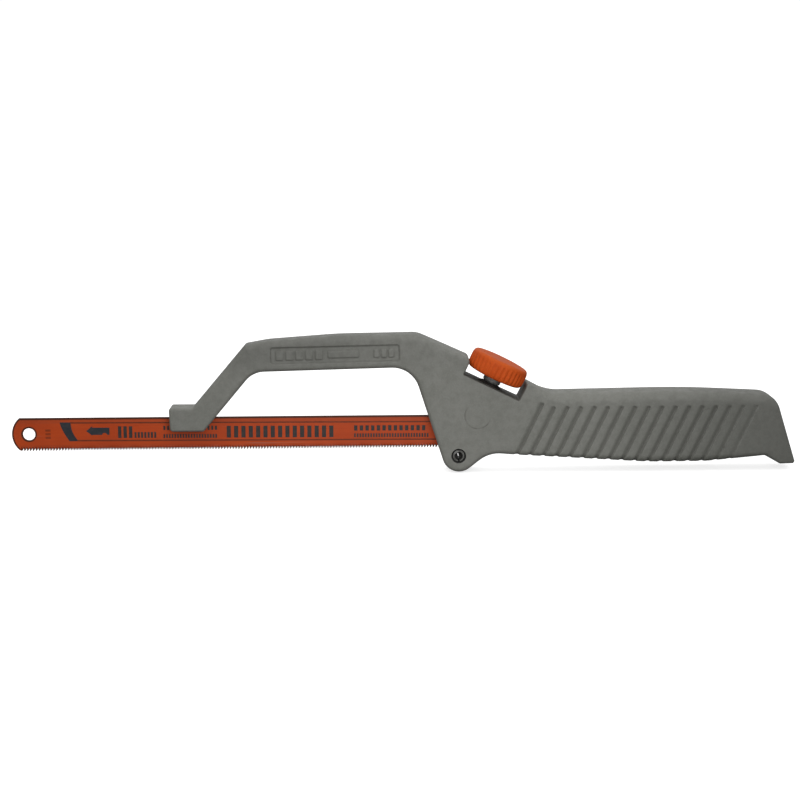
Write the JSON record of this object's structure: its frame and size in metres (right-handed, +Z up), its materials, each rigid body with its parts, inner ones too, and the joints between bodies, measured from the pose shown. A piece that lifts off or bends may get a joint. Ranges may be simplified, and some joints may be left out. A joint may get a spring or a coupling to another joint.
{
  "type": "hacksaw",
  "caption": "Compact hacksaw with a cast arched frame, fluted grip, ribbed clamp knob and a blade that slides out past the front foot.",
  "frame": {"origin": "bottom centre of the bounding box: mid length of the saw, on the plane of the blade, level with the lowest point of the pin lobe", "axes": "+X from the blade's free end towards the handle, +Y across the thickness, +Z up from the teeth to the arch"},
  "size_m": [0.2897, 0.022, 0.0509],
  "materials": {
    "cast_frame": "matte grey coated die casting",
    "spring_steel": "oiled spring steel",
    "dark_steel": "blackened steel",
    "blade_paint": "thin orange paint on spring steel",
    "tooth_edge": "thin orange paint on high speed steel",
    "knob_plastic": "moulded orange nylon",
    "screw_steel": "zinc plated steel"
  },
  "bodies": {
    "frame": {"frame_casting": "cast_frame", "cross_pin": "spring_steel", "threaded_bush": "dark_steel"},
    "blade": {"blade_back": "blade_paint", "blade_tooth_edge": "tooth_edge"},
    "clamp_pad": {"clamp_pad": "dark_steel"},
    "knob": {"clamp_knob": "knob_plastic", "clamp_screw": "screw_steel"}
  },
  "joints": [
    {"name": "blade_slide", "type": "slide", "parent": "frame", "child": "blade", "axis": [-1, 0, 0], "range_m": [-0.012, 0.085]},
    {"name": "screw_travel", "type": "slide", "parent": "frame", "child": "clamp_pad", "axis": [0.4322, 0, 0.9018], "range_m": [0, 0.0024]},
    {"name": "knob_turn", "type": "hinge", "parent": "clamp_pad", "child": "knob", "pos_m": [0.031, 0, 0.03185], "axis": [0.4322, 0, 0.9018], "range_deg": [-0.5, 1080.5]}
  ],
  "couplings": [
    {"joint": "knob_turn", "follows": "screw_travel", "rad_per_m": 7854}
  ]
}
